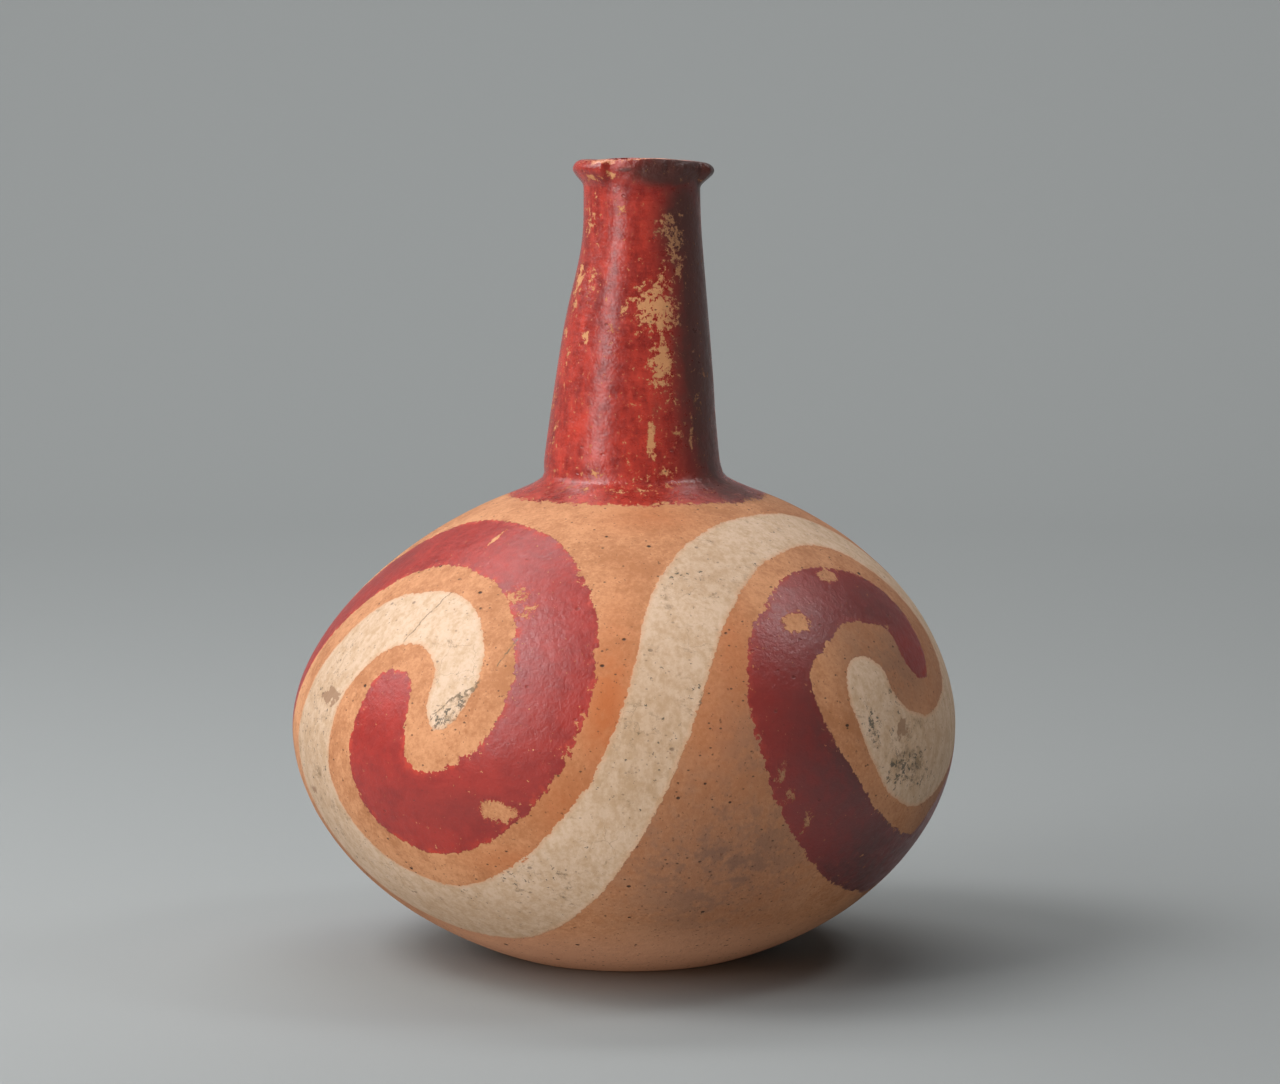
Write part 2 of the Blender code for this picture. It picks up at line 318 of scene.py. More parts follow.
# The photograph's frame, and where the camera stood, worked out from the bottle's outline in it
PHOTO_WIDTH = 1280
FOCAL_PIXELS = 4236
SENSOR = 36.0
CAMERA_PLACE = (5 * MM, -1300 * MM, 256 * MM)
CAMERA_DOWN = math.radians(5.664)


def smooth_max(a, b, blend):
    """The larger of two radii, with the corner where they cross rounded over."""
    overlap = np.maximum(blend - np.abs(a - b), 0.0) / blend
    return np.maximum(a, b) + overlap * overlap * blend / 4


def smooth_step(value, low, high):
    """0 below low, 1 above high, and an even curve between them."""
    share = np.clip((value - low) / (high - low), 0.0, 1.0)
    return share * share * (3 - 2 * share)


def oval_radius(rise, full_rise, radius, fullness):
    share = np.minimum(np.abs(rise) / full_rise, 1.0)
    return radius * (1 - share**fullness) ** (1 / fullness)


def body_radius(z, inset):
    radius = BODY_DIAMETER / 2 - inset
    cut = (BASE_DIAMETER / BODY_DIAMETER) ** UNDERSIDE_FULLNESS
    depth = BELLY_HEIGHT / (1 - cut) ** (1 / UNDERSIDE_FULLNESS)
    above = oval_radius(z - BELLY_HEIGHT, DOME_RISE - inset, radius, SHOULDER_FULLNESS)
    below = oval_radius(z - BELLY_HEIGHT, depth - inset, radius, UNDERSIDE_FULLNESS)
    return np.where(z >= BELLY_HEIGHT, above, below)


def neck_radius(z, inset):
    climbed = (z - DOME_TOP) / (COLLAR_FOOT - DOME_TOP)
    taper = (NECK_ROOT_DIAMETER + (COLLAR_DIAMETER - NECK_ROOT_DIAMETER) * climbed) / 2
    return smooth_max(taper, COLLAR_DIAMETER / 2, COLLAR_BLEND) - inset


def joined_radius(z, body_inset, neck_inset):
    """Body and neck run together. They only meet above the widest ring."""
    body = body_radius(z, body_inset)
    return np.where(z < BELLY_HEIGHT, body, smooth_max(body, neck_radius(z, neck_inset), ROOT_BLEND))


def plain_radius(z):
    return joined_radius(z, 0.0, 0.0)


def outer_radius(z):
    """The outside, with a lip that flares out of the collar and rolls over to the mouth."""
    share = np.clip((z - LIP_WIDEST) / LIP_ROLL, 0.0, 1.0)
    flared = smooth_step(z, LIP_FOOT, LIP_WIDEST)
    rolled = np.sqrt(1 - share * share)
    return plain_radius(z) + LIP_OVERHANG * np.where(z < LIP_WIDEST, flared, rolled)


def inner_radius(z):
    return joined_radius(z, BODY_WALL, NECK_WALL)


def axis_shift(z):
    """How far the bottle's own axis stands to the right of the middle of its body."""
    shoulder = DOME_TOP - SHOULDER_BELOW_ROOT
    settled = DOME_TOP + ROOT_SETTLE
    shift = BASE_SHIFT * (1 - smooth_step(z, 0.0, BELLY_HEIGHT))
    shift = shift + SHOULDER_SHIFT * smooth_step(z, BELLY_HEIGHT, shoulder)
    shift = shift + (NECK_ROOT_SHIFT - SHOULDER_SHIFT) * smooth_step(z, shoulder, settled)
    lean = (MOUTH_SHIFT - NECK_ROOT_SHIFT) / (MOUTH_HEIGHT - settled)
    return shift + lean * np.maximum(z - settled, 0.0)


def hollow_depth(z, angle):
    rise = (z - (MOUTH_HEIGHT - HOLLOW_BELOW_MOUTH)) / HOLLOW_HALF_HEIGHT
    facing = np.maximum(np.cos(angle - HOLLOW_ANGLE), 0.0)
    return HOLLOW_DEPTH * np.exp(-rise * rise) * facing * facing


def rim_drop(z, angle):
    """How far the collar and lip sink at the sides."""
    side = np.sin(angle)
    return RIM_DIP * side * side * (2 + side) / 3 * smooth_step(z, COLLAR_FOOT, MOUTH_HEIGHT)


def lip_broken(angle):
    """1 where the lip is broken off along the front, 0 where it is whole."""
    started = smooth_step(angle, LIP_BROKEN_FROM, LIP_BROKEN_FROM + LIP_BREAK_WIDTH)
    return started * (1 - smooth_step(angle, LIP_BROKEN_TO, LIP_BROKEN_TO + LIP_BREAK_WIDTH))


def heights_along(radius_at, low, high, step):
    """Heights that cut an outline into stretches of about one step, from low up to high."""
    fine = np.linspace(low, high, OUTLINE_SAMPLES)
    lengths = np.hypot(np.diff(fine), np.diff(radius_at(fine)))
    gone = np.concatenate([[0.0], np.cumsum(lengths)])
    return np.interp(np.linspace(0, gone[-1], round(gone[-1] / step) + 1), gone, fine)


def profile():
    """Radius, height and side (0 outside, 1 inside) of each ring, from the base to the inside floor."""
    base = np.arange(SURFACE_STEP, BASE_DIAMETER / 2, SURFACE_STEP)
    wall = heights_along(outer_radius, 0.0, LIP_FOOT, SURFACE_STEP)[:-1]
    lip = heights_along(outer_radius, LIP_FOOT, MOUTH_HEIGHT, LIP_STEP)
    mouth_top = float(inner_radius(np.array(MOUTH_HEIGHT))) + MOUTH_ROUNDING
    edge = np.arange(float(outer_radius(np.array(MOUTH_HEIGHT))) - LIP_STEP, mouth_top, -LIP_STEP)
    inside = heights_along(inner_radius, FLOOR, MOUTH_HEIGHT - MOUTH_ROUNDING, INSIDE_STEP)[::-1]
    floor = np.arange(float(inner_radius(np.array(FLOOR))) - INSIDE_STEP, INSIDE_STEP / 2, -INSIDE_STEP)
    radii = np.concatenate([base, outer_radius(wall), outer_radius(lip), edge, [mouth_top],
                            inner_radius(inside), floor])
    heights = np.concatenate([0 * base, wall, lip, 0 * edge + MOUTH_HEIGHT, [MOUTH_HEIGHT],
                              inside, 0 * floor + FLOOR])
    outside = len(base) + len(wall) + len(lip) + len(edge) + 1
    side = np.concatenate([np.zeros(outside), np.ones(len(inside) + len(floor))])
    return radii, heights, side


def on_surface(azimuth, height):
    """The point of the plain outside at an azimuth in degrees and a height in mm."""
    angle = np.radians(azimuth)
    z = height * MM
    radius = plain_radius(z)
    return np.stack([radius * np.sin(angle) + axis_shift(z), -radius * np.cos(angle), z], -1)


def noise_at(points, wave, seed):
    """Smooth noise from about -1 to 1 at each point, seeded by moving the points along."""
    offset = Vector([seed * step for step in SEED_STEPS])
    return np.array([noise.noise(Vector(p) / wave + offset) for p in points])


def hand_made(radii, heights, side):
    """Every ring turned, then moved to where the potter's hands and the years left it."""
    turn = 2 * math.pi * np.arange(ROUND_STEPS) / ROUND_STEPS - math.pi
    angle, z = (grid.reshape(-1) for grid in np.meshgrid(turn, heights))
    radius = np.repeat(radii, ROUND_STEPS)
    outside = 1 - np.repeat(side, ROUND_STEPS)
    away = np.stack([np.sin(angle), -np.cos(angle), 0 * z], -1)
    true_place = away * radius[:, None] + np.stack([0 * z, 0 * z, z], -1)
    broken = lip_broken(angle)
    stub = STUB_SHARE * np.exp(-(((angle - STUB_ANGLE) / STUB_HALF_WIDTH) ** 2))
    overhang = np.minimum(outer_radius(z) - plain_radius(z), np.maximum(radius - plain_radius(z), 0))
    radius = radius - hollow_depth(z, angle) - overhang * ((1 - LIP_SHARE_LEFT) * broken - stub)
    uneven = BROAD_DEPTH * noise_at(true_place, BROAD_WAVE, BROAD_SEED)
    uneven = uneven + DENT_DEPTH * noise_at(true_place, DENT_WAVE, DENT_SEED)
    uneven = np.minimum(uneven * smooth_step(z, 0.0, RESTING_BAND) * outside, 0.0)
    on_break = broken * smooth_step(z, LIP_FOOT, LIP_WIDEST) * outside
    uneven = uneven + on_break * BREAK_DEPTH * noise_at(true_place, BREAK_WAVE, BREAK_SEED)
    radius = radius + uneven
    sunk = RIM_WAVE_DEPTH * np.maximum(noise_at(away * radius[:, None], RIM_WAVE, RIM_SEED), 0)
    lowered = z - rim_drop(z, angle) - sunk * smooth_step(z, COLLAR_FOOT, MOUTH_HEIGHT)
    points = away * radius[:, None] + np.stack([axis_shift(z), 0 * z, lowered], -1)
    return points, angle, z, outside, on_break


def quads(rings):
    """Faces between neighbouring rings, and a fan at each end, all facing out."""
    faces = []
    for ring in range(rings - 1):
        low = ring * ROUND_STEPS
        high = low + ROUND_STEPS
        for i in range(ROUND_STEPS):
            j = (i + 1) % ROUND_STEPS
            faces.append((low + i, low + j, high + j, high + i))
    last = (rings - 1) * ROUND_STEPS
    base = rings * ROUND_STEPS
    for i in range(ROUND_STEPS):
        j = (i + 1) % ROUND_STEPS
        faces.append((base, j, i))
        faces.append((base + 1, last + i, last + j))
    return faces


def smooth_stroke(stroke):
    """A smooth curve through a stroke's points, as many more points."""
    p = np.array(stroke, float)
    p = np.vstack([2 * p[0] - p[1], p, 2 * p[-1] - p[-2]])
    t = (np.arange(STROKE_SAMPLES) / STROKE_SAMPLES)[:, None]
    curve = []
    for a, b, c, d in zip(p, p[1:], p[2:], p[3:]):
        bend = (2 * a - 5 * b + 4 * c - d) * t**2 + (3 * b - a - 3 * c + d) * t**3
        curve.append(0.5 * (2 * b + (c - a) * t + bend))
    return np.vstack(curve + [p[-2:-1]])


def turned(stroke, quarters):
    return [(azimuth + QUARTER * quarters, height, half) for azimuth, height, half in stroke]


def edge_distance(points, strokes):
    """Distance in mm from each point to the nearest edge of some strokes, negative inside them."""
    nearest = np.full(len(points), FAR_AWAY)
    for stroke in strokes:
        curve = smooth_stroke(stroke)
        for middle, half in zip(on_surface(curve[:, 0], curve[:, 1]), curve[:, 2]):
            apart = np.sqrt(((points - middle) ** 2).sum(1)) / MM
            nearest = np.minimum(nearest, apart - half)
    return nearest


def clouds(angle, heights, places):
    """The strongest of some soft clouds at each point."""
    azimuth = np.degrees(angle)
    strongest = np.zeros(len(azimuth))
    for middle, height, half_angle, half_height, strength in places:
        turn = (azimuth - middle + 180) % 360 - 180
        reach = (turn / half_angle) ** 2 + ((heights / MM - height) / half_height) ** 2
        strongest = np.maximum(strongest, strength * np.exp(-reach))
    return strongest


def scratch_places(points):
    """How far each point lies from its nearest scratch: across it, with a sign, and in all, both in mm."""
    across = np.full(len(points), SCRATCH_REACH)
    nearest = np.full(len(points), SCRATCH_REACH)
    for start, end in SCRATCHES:
        first, last = (on_surface(azimuth, height) for azimuth, height in (start, end))
        length = np.linalg.norm(last - first)
        along = (last - first) / length
        outward = np.array([first[0], first[1], 0.0]) / np.hypot(first[0], first[1])
        side = np.cross(outward, along)
        from_first = points - first
        gone = np.clip(from_first @ along, 0.0, length)
        apart = np.linalg.norm(from_first - gone[:, None] * along, axis=1) / MM
        closer = apart < nearest
        across = np.where(closer, from_first @ side / np.linalg.norm(side) / MM, across)
        nearest = np.minimum(nearest, apart)
    return across, nearest


def bottle_mesh():
    radii, heights, side = profile()
    points, angle, height, outside, on_break = hand_made(radii, heights, side)
    middle = [float(axis_shift(np.array(0.0))), float(axis_shift(np.array(FLOOR)))]
    ends = np.array([[middle[0], 0.0, 0.0], [middle[1], 0.0, FLOOR]])
    mesh = bpy.data.meshes.new("painted_bottle")
    mesh.from_pydata(np.vstack([points, ends]).tolist(), [], quads(len(radii)))
    mesh.update()
    mesh.shade_smooth()
    white = [WHITE_START + WHITE_END, turned(RED_START, 1) + turned(RED_END, 3)]
    red = [turned(WHITE_START, -1) + RED_END, RED_START + turned(WHITE_END, 1)]
    plain = on_surface(np.degrees(angle), height / MM)
    down_inside = (MOUTH_HEIGHT - SLIP_INSIDE_MOUTH - height) / MM
    above_edge = (SLIP_EDGE_ON_SHOULDER - height) / MM
    across_scratch, from_scratch = scratch_places(plain)
    # The painted bounce light is full at the base and fades out going up
    bounce_fade = 1 - smooth_step(height, UNDERSIDE_BOUNCE_LIGHT_FROM, UNDERSIDE_BOUNCE_LIGHT_TO)
    fields = {
        "white_edge": np.where(outside > 0, edge_distance(plain, white), FAR_AWAY),
        "red_edge": np.where(outside > 0, edge_distance(plain, red), FAR_AWAY),
        "neck_edge": np.where(outside > 0, above_edge, down_inside),
        "bare": clouds(angle, height, BARE_ON_BODY + BARE_ON_NECK) * outside,
        "soot_and_shade": clouds(angle, height, SOOT_AND_SHADE_ON_NECK),
        "clay_smoke_and_shade": clouds(angle, height, SMOKE_AND_SHADE_ON_CLAY),
        "ragged": clouds(angle, height, RAGGED_EDGE),
        "red_smoke_and_shade": clouds(angle, height, SMOKE_AND_SHADE_ON_RED),
        "burnt": clouds(angle, height, BURNT_CLAY),
        "dirt": clouds(angle, height, DIRT_ON_WHITE),
        "aged": clouds(angle, height, AGED_WHITE),
        "brown": clouds(angle, height, BROWN_SPOTS),
        "across_scratch": across_scratch,
        "from_scratch": from_scratch,
        "inside": 1 - outside,
        "break": on_break,
        "painted_bounce": UNDERSIDE_BOUNCE_LIGHT * bounce_fade * outside,
        "pale_rim": clouds(angle, height, PALE_RIM),
    }
    for name, values in fields.items():
        layer = mesh.attributes.new(name, "FLOAT", "POINT")
        layer.data.foreach_set("value", np.concatenate([values, values[[0, -1]]]).astype(np.float32))
    return mesh


def linear(colour):
    """A colour given as 0 to 255 screen values, as the shader wants it."""
    return tuple(((value / 255 + 0.055) / 1.055) ** 2.4 for value in colour) + (1.0,)


# How far one octave of the noise texture spreads about its middle
NOISE_SPREAD = 0.14


class Web:
    """A material's nodes, made one call at a time. Each call returns the socket that it makes."""

    def __init__(self, material):
        material.use_nodes = True
        self.tree = material.node_tree
        self.shader = self.tree.nodes["Principled BSDF"]
        self.place = self.tree.nodes.new("ShaderNodeTexCoord").outputs["Object"]
        self.blotch = self.grain(BLOTCH_WAVE, 3)
        self.mottle = self.grain(MOTTLE_WAVE, 4, 0.65)
        self.fine = self.grain(FINE_WAVE, 3, 0.65)
        self.lumps = self.grain(LUMP_WAVE, 4, 0.6)
        self.wiped = self.grain(WIPED_WAVE, 3, 0.6, self.stretched(ROUND_THE_WALL))
        self.upright = self.grain(UPRIGHT_WAVE, 4, 0.62, self.stretched(UP_THE_WALL))

    def put(self, socket, value):
        """Gives a socket a value: another socket, a colour or a number."""
        if isinstance(value, bpy.types.NodeSocket):
            self.tree.links.new(value, socket)
        elif isinstance(value, tuple):
            socket.default_value = linear(value)
        else:
            socket.default_value = value

    def maths(self, operation, a, b=0.0):
        made = self.tree.nodes.new("ShaderNodeMath")
        made.operation = operation
        self.put(made.inputs[0], a)
        self.put(made.inputs[1], b)
        return made.outputs[0]

    def plus(self, *values):
        total = values[0]
        for value in values[1:]:
            total = self.maths("ADD", total, value)
        return total

    def times(self, a, b):
        return self.maths("MULTIPLY", a, b)

    def step(self, value, low, high, start=0.0, end=1.0):
        """An even curve from start to end as value goes from low to high."""
        made = self.tree.nodes.new("ShaderNodeMapRange")
        made.interpolation_type = "SMOOTHSTEP"
        falling = low > high
        self.put(made.inputs["Value"], value)
        self.put(made.inputs["From Min"], high if falling else low)
        self.put(made.inputs["From Max"], low if falling else high)
        self.put(made.inputs["To Min"], end if falling else start)
        self.put(made.inputs["To Max"], start if falling else end)
        return made.outputs["Result"]

    def field(self, name):
        made = self.tree.nodes.new("ShaderNodeAttribute")
        made.attribute_name = name
        return made.outputs["Fac"]

    def stretched(self, scale):
        """The place, scaled along x, y and z. What is scaled down draws the grain out."""
        made = self.tree.nodes.new("ShaderNodeVectorMath")
        made.operation = "MULTIPLY"
        self.put(made.inputs[0], self.place)
        made.inputs[1].default_value = scale
        return made.outputs[0]

    def grain(self, wave, detail=3.0, rough=0.55, place=None, twist=0.0):
        """Noise with a wavelength in metres. Two thirds of it lies between -0.5 and 0.5."""
        made = self.tree.nodes.new("ShaderNodeTexNoise")
        self.put(made.inputs["Vector"], place or self.place)
        made.inputs["Scale"].default_value = 1 / wave
        made.inputs["Detail"].default_value = detail
        made.inputs["Roughness"].default_value = rough
        made.inputs["Distortion"].default_value = twist
        sizes = [rough**octave for octave in range(int(detail) + 1)]
        spread = NOISE_SPREAD * math.sqrt(sum(size * size for size in sizes)) / sum(sizes)
        return self.times(self.plus(made.outputs["Fac"], -0.5), 0.5 / spread)

    def warped(self, wave, reach):
        """The place, pushed about by noise so that straight cells turn crooked."""
        push = self.tree.nodes.new("ShaderNodeTexNoise")
        self.put(push.inputs["Vector"], self.place)
        push.inputs["Scale"].default_value = 1 / wave
        push.inputs["Detail"].default_value = 2.0
        moved = self.tree.nodes.new("ShaderNodeVectorMath")
        moved.operation = "MULTIPLY_ADD"
        self.put(moved.inputs[0], push.outputs["Color"])
        moved.inputs[1].default_value = (reach, reach, reach)
        self.put(moved.inputs[2], self.place)
        return moved.outputs[0]

    def pits(self, spacing, radius, share, place):
        """Round pits scattered in cells of one spacing. A share of the cells has one. 1 in a pit."""
        made = self.tree.nodes.new("ShaderNodeTexVoronoi")
        self.put(made.inputs["Vector"], place)
        made.inputs["Scale"].default_value = 1 / spacing
        chance = self.tree.nodes.new("ShaderNodeSeparateColor")
        self.put(chance.inputs[0], made.outputs["Color"])
        here = self.step(chance.outputs[0], share, share * PIT_SHARE_FADE)
        size = self.times(here, radius / spacing)
        gap = self.maths("SUBTRACT", size, made.outputs["Distance"])
        return self.step(gap, -PIT_EDGE_OUT * radius / spacing, PIT_EDGE_IN * radius / spacing)

    def cracks(self, spacing, width, place):
        """Thin lines between cells of one spacing. 1 on a line."""
        made = self.tree.nodes.new("ShaderNodeTexVoronoi")
        made.feature = "DISTANCE_TO_EDGE"
        self.put(made.inputs["Vector"], place)
        made.inputs["Scale"].default_value = 1 / spacing
        return self.step(made.outputs["Distance"], width / spacing, 0.0)

    def mix(self, share, a, b):
        """Colour a where the share is 0 and b where it is 1. Sockets 6, 7 and 2 are the colour ones."""
        made = self.tree.nodes.new("ShaderNodeMix")
        made.data_type = "RGBA"
        self.put(made.inputs["Factor"], share)
        self.put(made.inputs[6], a)
        self.put(made.inputs[7], b)
        return made.outputs[2]

    def bump(self, height):
        """Height in mm, as a bump."""
        made = self.tree.nodes.new("ShaderNodeBump")
        made.inputs["Strength"].default_value = 1.0
        made.inputs["Distance"].default_value = MM
        self.put(made.inputs["Height"], height)
        return made.outputs["Normal"]


def worn_masks(web):
    """Where each slip lies, from 0 to 1, with nibbled edges and flaked patches. The coat is the red slip
    and the neck's together, without the smallest flecks, for the relief."""
    wobble = web.times(web.grain(WOBBLE_WAVE, 2), EDGE_WOBBLE)
    fringe = web.times(web.fine, EDGE_FRINGE)
    bites = web.step(web.grain(BITE_WAVE, 3, 0.65), 0.1, 0.9)
    nibbled = web.times(web.plus(web.upright, web.lumps, 0.2), 1.1)
    bitten = web.times(web.field("ragged"), web.plus(web.times(bites, 1.9), nibbled))
    bitten = web.plus(bitten, web.times(bites, 0.5))
    red_gap = web.plus(web.field("red_edge"), wobble, fringe, bitten)
    white_gap = web.plus(web.field("white_edge"), web.times(wobble, 0.6), web.times(fringe, 0.7),
                         web.times(bitten, 0.6))
    neck_gap = web.plus(web.field("neck_edge"), wobble, fringe, web.times(bites, 0.6))
    lacy = web.step(web.field("neck_edge"), 2.0, -3.0, 0.26, 0.46)
    flaky = web.plus(web.field("bare"), web.times(web.grain(FLAKE_WAVE, 4, 0.8), lacy))
    flaked = web.step(flaky, 0.485, 0.52)
    slip_gap = web.maths("MINIMUM", red_gap, neck_gap)
    near_edge = web.step(slip_gap, -4.0, -0.4)
    fleck = web.plus(web.grain(FLECK_WAVE, 4, 0.66), web.times(near_edge, 0.3),
                     web.times(web.field("ragged"), 0.25))
    flecked = web.step(fleck, 1.28, 1.36)
    kept = web.maths("SUBTRACT", 1.0, web.maths("MAXIMUM", flaked, flecked))
    red = web.step(red_gap, SOFT_EDGE_RED, -SOFT_EDGE_RED)
    neck = web.step(neck_gap, SOFT_EDGE_RED, -SOFT_EDGE_RED)
    coat = web.times(web.maths("MAXIMUM", red, neck), web.maths("SUBTRACT", 1.0, flaked))
    red = web.times(red, kept)
    neck = web.times(neck, kept)
    white = web.step(white_gap, SOFT_EDGE_WHITE, -SOFT_EDGE_WHITE)
    thinned = web.times(web.step(slip_gap, -2.4, -0.1), web.step(web.mottle, -0.4, 0.9))
    rubbed = web.maths("MAXIMUM", thinned, web.step(flaky, 0.30, 0.5))
    return white, red, neck, coat, rubbed, white_gap


def scored_lines(web):
    """Scratches that waver a little and are deeper in some places than others. 1 in a scratch."""
    wavering = web.plus(web.field("across_scratch"), web.times(web.mottle, SCRATCH_WAVER))
    thin = web.step(web.maths("ABSOLUTE", wavering), SCRATCH_HALF_WIDTH * 1.6, SCRATCH_HALF_WIDTH * 0.4)
    near = web.step(web.field("from_scratch"), SCRATCH_GONE, SCRATCH_ENDS)
    return web.times(web.times(thin, near), web.step(web.fine, -0.9, 0.2, 0.3, 1.0))


def clay_look(web):
    """Bare fired clay: mottled, wiped and specked, scorched here and there, smoky with painted shade low on
    the right, and painted paler near the base as bounce light.
    """
    tone = web.plus(web.times(web.blotch, 0.45), web.times(web.mottle, 0.3), web.times(web.fine, 0.32),
                    web.times(web.wiped, 0.1))
    colour = web.mix(web.step(tone, -0.8, 0.8), CLAY_DEEP, CLAY_LIGHT)
    patchy = web.step(web.plus(web.blotch, web.mottle), -1.1, 0.7, 0.6, 1.0)
    colour = web.mix(web.times(web.field("burnt"), patchy), colour, CLAY_BURNT)
    # Smoke and painted shade darken the clay on the lower right
    colour = web.mix(web.times(web.field("clay_smoke_and_shade"), patchy), colour, CLAY_SMOKED_AND_SHADED)
    # Painted bounce light: paler clay near the base
    colour = web.mix(web.field("painted_bounce"), colour, CLAY_BOUNCE_LIT)
    specks = web.plus(web.grain(SPECK_WAVE, 2, 0.6), web.times(web.field("clay_smoke_and_shade"), 0.15))
    colour = web.mix(web.step(specks, 0.85, 1.3, 0.0, 0.65), colour, CLAY_SPECK)
    return web.mix(web.times(web.field("inside"), 0.85), colour, CLAY_INSIDE)


def white_look(web, gap):
    """Chalky slip with dirt rubbed into it and fine cracks."""
    tone = web.plus(web.times(web.mottle, 0.4), web.times(web.fine, 0.4), web.times(web.upright, 0.45))
    colour = web.mix(web.step(tone, -1.2, 0.8), WHITE_WORN, WHITE_CLEAN)
    aged = web.times(web.field("aged"), web.step(tone, 1.0, -1.0, 0.6, 1.0))
    colour = web.mix(aged, colour, WHITE_AGED)
    slanted = web.grain(SMUDGE_WAVE, 5, 0.8, web.stretched(SLANTING), 0.3)
    smudge = web.plus(slanted, web.times(web.field("dirt"), 1.0))
    colour = web.mix(web.step(smudge, 0.7, 2.0, 0.0, 0.75), colour, WHITE_SMUDGE)
    grime = web.plus(web.grain(GRIME_WAVE, 4, 0.75), web.times(web.field("dirt"), 1.0))
    colour = web.mix(web.step(grime, 1.15, 1.5, 0.0, 0.85), colour, WHITE_GRIME)
    spot = web.plus(web.field("brown"), web.times(web.lumps, 0.3))
    colour = web.mix(web.step(spot, 0.42, 0.55, 0.0, 0.85), colour, WHITE_STAINED)
    parted = web.step(web.blotch, -0.1, 0.6, 0.0, 0.45)
    cracks = web.cracks(CRACK_SPACING, CRACK_WIDTH, web.warped(CRACK_BEND_WAVE, CRACK_BEND))
    colour = web.mix(web.times(cracks, parted), colour, WHITE_LINE)
    edge = web.step(gap, -1.6, 0.0, 0.0, 0.3)
    return web.mix(edge, colour, CLAY_LIGHT)


def red_look(web, rubbed):
    """Burnished slip: deep where it is thick, brighter and duller where it is rubbed."""
    tone = web.plus(web.times(web.blotch, 0.4), web.times(web.mottle, 0.35), web.times(web.wiped, 0.2))
    patchy = web.step(web.plus(web.blotch, web.mottle), -1.3, 0.8, 0.72, 1.0)
    body = web.mix(web.step(tone, -0.9, 0.9), RED_DEEP, RED_BRIGHT)
    body = web.mix(web.times(rubbed, 0.55), body, RED_THIN)
    # Smoke and painted shade darken the red low on the right side
    body = web.mix(web.times(web.field("red_smoke_and_shade"), patchy), body, RED_SMOKED_AND_SHADED)
    streaky = web.plus(web.times(tone, 0.9), web.times(web.upright, 0.28))
    neck = web.mix(web.step(streaky, -1.0, 1.0), NECK_DEEP, NECK_BRIGHT)
    neck = web.mix(web.times(rubbed, 0.4), neck, RED_THIN)
    # Soot and painted shade darken the neck's right side and a thin line beneath the lip
    soot_and_shade = web.step(web.plus(web.field("soot_and_shade"), web.times(streaky, 0.25)), 0.15, 0.85, 0.0, 0.95)
    return body, web.mix(soot_and_shade, neck, NECK_SOOT_AND_SHADE), soot_and_shade


def slipped_earthenware():
    """Everything that the bottle's surface shows, in one material."""
    material = bpy.data.materials.new("slipped_earthenware")
    web = Web(material)
    web.shader.inputs["Specular IOR Level"].default_value = SPECULAR_LEVEL
    white, red, neck, coat, rubbed, white_gap = worn_masks(web)
    clay_colour = clay_look(web)
    white_colour = white_look(web, white_gap)
    red_colour, neck_colour, soot_and_shade = red_look(web, rubbed)
    scored = scored_lines(web)
    squat = web.stretched(SQUAT)
    large_pits = web.pits(*LARGE_PITS, squat)
    small_pits = web.pits(*SMALL_PITS, squat)
    glossy = web.maths("MINIMUM", web.plus(red, neck), 1.0)
    bare = web.plus(1.0, web.times(coat, -0.7), web.times(white, -0.5))
    holes = web.times(web.maths("MAXIMUM", large_pits, web.times(small_pits, 0.8)), bare)
    above_shoulder = web.step(web.field("neck_edge"), 1.0, -1.0)
    # Flakes take on the soot and the painted shade of the neck's right side
    flake_colour = web.mix(web.times(soot_and_shade, 0.75), NECK_FLAKE, FLAKE_SOOT_AND_SHADE)
    colour = web.mix(white, web.mix(above_shoulder, clay_colour, flake_colour), white_colour)
    colour = web.mix(red, colour, red_colour)
    colour = web.mix(neck, colour, neck_colour)
    colour = web.mix(web.times(scored, 0.8), colour, WHITE_LINE)
    pale = web.plus(web.field("pale_rim"), web.times(web.lumps, 0.3))
    colour = web.mix(web.step(pale, 0.45, 0.75, 0.0, 0.85), colour, RIM_WORN)
    colour = web.mix(web.times(holes, 0.9), colour, PIT_DARK)
    rough_red = web.plus(RED_ROUGHNESS, web.times(neck, NECK_ROUGHNESS - RED_ROUGHNESS),
                         web.times(web.wiped, 0.04), web.times(web.lumps, 0.05),
                         web.times(rubbed, 0.2), web.times(soot_and_shade, 0.08))
    rough = web.plus(web.times(glossy, web.plus(rough_red, -DULL_ROUGHNESS)), DULL_ROUGHNESS)
    sand = web.times(web.grain(SAND_WAVE, 2, 0.6), SAND_RELIEF)
    lumps = web.times(web.lumps, LUMP_RELIEF)
    slips = web.plus(web.times(white, WHITE_SLIP_THICKNESS), web.times(coat, RED_SLIP_THICKNESS))
    sunk = web.times(web.times(large_pits, bare), -PIT_DEPTH)
    broken = web.times(web.field("break"), web.times(web.fine, BREAK_RELIEF))
    web.put(web.shader.inputs["Base Color"], colour)
    web.put(web.shader.inputs["Roughness"], rough)
    web.put(web.shader.inputs["Normal"], web.bump(web.plus(sand, lumps, slips, sunk, broken)))
    return material


def bottle():
    made = bpy.data.objects.new("painted_bottle", bottle_mesh())
    bpy.context.scene.collection.objects.link(made)
    made.data.materials.append(slipped_earthenware())
    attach(made, "root")
    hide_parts("bottle")


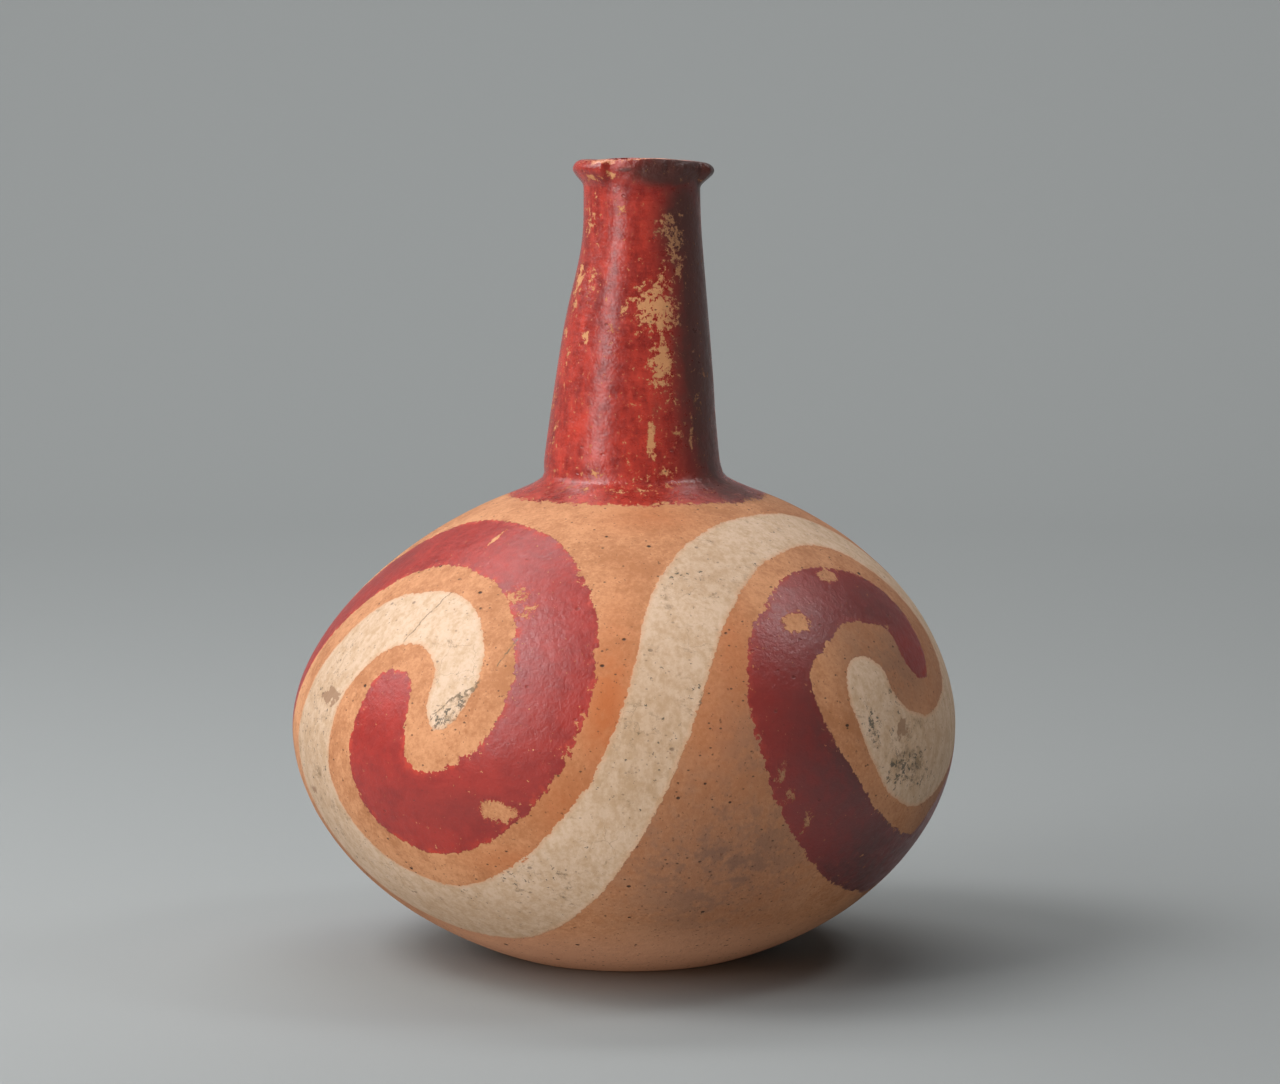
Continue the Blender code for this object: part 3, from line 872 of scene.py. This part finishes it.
# The studio: a round sweep of paper, and soft boxes that face the bottle, given as (name, azimuth and
# elevation in degrees, distance, width and height in metres, watts). Azimuth 0 is the camera's side and
# turns to the right. The glow stands for light that the table throws up, and lights the bottle alone. One
# more box, above and behind, lights the backdrop.
FLOOR_RADIUS = 1.4
SWEEP_RADIUS = 0.8
SWEEP_STEPS = 24
WALL_TOP = 1.2
STAGE_STEPS = 96
AIM_HEIGHT = 0.105
GLOW = "table_glow"
SOFT_BOXES = [
    ("tall_key", -48, 31, 1.0, 0.34, 0.94, 5.4),
    ("high_left", -80, 54, 1.0, 0.4, 0.36, 3.6),
    ("side", -100, 35, 1.3, 0.7, 0.7, 5.0),
    ("overhead", 0, 85, 1.2, 0.8, 0.8, 1.7),
    ("top_right", 92, 52, 1.0, 0.2, 0.2, 1.2),
    (GLOW, -15, -3, 0.9, 1.4, 0.1, 6.0),
]
UNSEEN_IN_GLOSS = (GLOW, "overhead")
BACKDROP_PLACE = (-0.3, 1.2, 2.2)
BACKDROP_LEAN = math.radians(25)
BACKDROP_WIDTH = 2.4
BACKDROP_HEIGHT = 0.9
BACKDROP_WATTS = 40
PAPER_ROUGHNESS = 0.9
PAPER_SPECULAR = 0.1


def studio_sweep():
    """A round pale floor that curves up into a wall on all sides, well away from the bottle."""
    outline = [(0.0, 0.0), (FLOOR_RADIUS, 0.0)]
    for i in range(1, SWEEP_STEPS + 1):
        turn = math.pi / 2 * i / SWEEP_STEPS
        outline.append((FLOOR_RADIUS + SWEEP_RADIUS * math.sin(turn), SWEEP_RADIUS * (1 - math.cos(turn))))
    outline.append((FLOOR_RADIUS + SWEEP_RADIUS, WALL_TOP))
    built = bmesh.new()
    spots = [built.verts.new((0.0, y, z)) for y, z in outline]
    edges = [built.edges.new(pair) for pair in zip(spots, spots[1:])]
    bmesh.ops.spin(
        built, geom=spots + edges, axis=(0, 0, 1), cent=(0, 0, 0), steps=STAGE_STEPS, angle=2 * math.pi
    )
    bmesh.ops.remove_doubles(built, verts=built.verts[:], dist=MM)
    mesh = bpy.data.meshes.new("studio_sweep")
    built.to_mesh(mesh)
    built.free()
    mesh.shade_smooth()
    made = bpy.data.objects.new("studio_sweep", mesh)
    bpy.context.scene.collection.objects.link(made)
    material = bpy.data.materials.new("backdrop_paper")
    material.use_nodes = True
    shader = material.node_tree.nodes["Principled BSDF"]
    shader.inputs["Base Color"].default_value = linear(PAPER_GREY)
    shader.inputs["Roughness"].default_value = PAPER_ROUGHNESS
    shader.inputs["Specular IOR Level"].default_value = PAPER_SPECULAR
    mesh.materials.append(material)


def soft_box(name, place, tilt, width, height, watts):
    data = bpy.data.lights.new(name, "AREA")
    data.shape = "RECTANGLE"
    data.size = width
    data.size_y = height
    data.energy = watts
    made = bpy.data.objects.new(name, data)
    made.location = place
    made.rotation_euler = tilt
    made.visible_glossy = name not in UNSEEN_IN_GLOSS
    made.visible_camera = False
    bpy.context.scene.collection.objects.link(made)
    return made


def lights():
    aim = Vector((0.0, 0.0, AIM_HEIGHT))
    for name, azimuth, elevation, distance, width, height, watts in SOFT_BOXES:
        turn = math.radians(azimuth)
        rise = math.radians(elevation)
        away = Vector((math.sin(turn) * math.cos(rise), -math.cos(turn) * math.cos(rise), math.sin(rise)))
        tilt = away.to_track_quat("Z", "Y").to_euler()
        box = soft_box(name, aim + away * distance, tilt, width, height, watts)
        if name == GLOW:
            only = bpy.data.collections.new("lit_by_table_glow")
            only.objects.link(bpy.data.objects["painted_bottle"])
            box.light_linking.receiver_collection = only
    tilt = (BACKDROP_LEAN, 0.0, 0.0)
    soft_box("backdrop_box", BACKDROP_PLACE, tilt, BACKDROP_WIDTH, BACKDROP_HEIGHT, BACKDROP_WATTS)
    world = bpy.data.worlds.new("studio_air")
    world.use_nodes = True
    world.node_tree.nodes["Background"].inputs["Strength"].default_value = 0.0
    bpy.context.scene.world = world
    bpy.context.scene.view_settings.view_transform = "Standard"


def camera():
    data = bpy.data.cameras.new("camera")
    data.sensor_width = SENSOR
    data.lens = FOCAL_PIXELS / PHOTO_WIDTH * SENSOR
    made = bpy.data.objects.new("camera", data)
    made.location = CAMERA_PLACE
    made.rotation_euler = (math.pi / 2 - CAMERA_DOWN, 0.0, 0.0)
    bpy.context.scene.collection.objects.link(made)
    bpy.context.scene.camera = made


camera()
bottle()
studio_sweep()
lights()
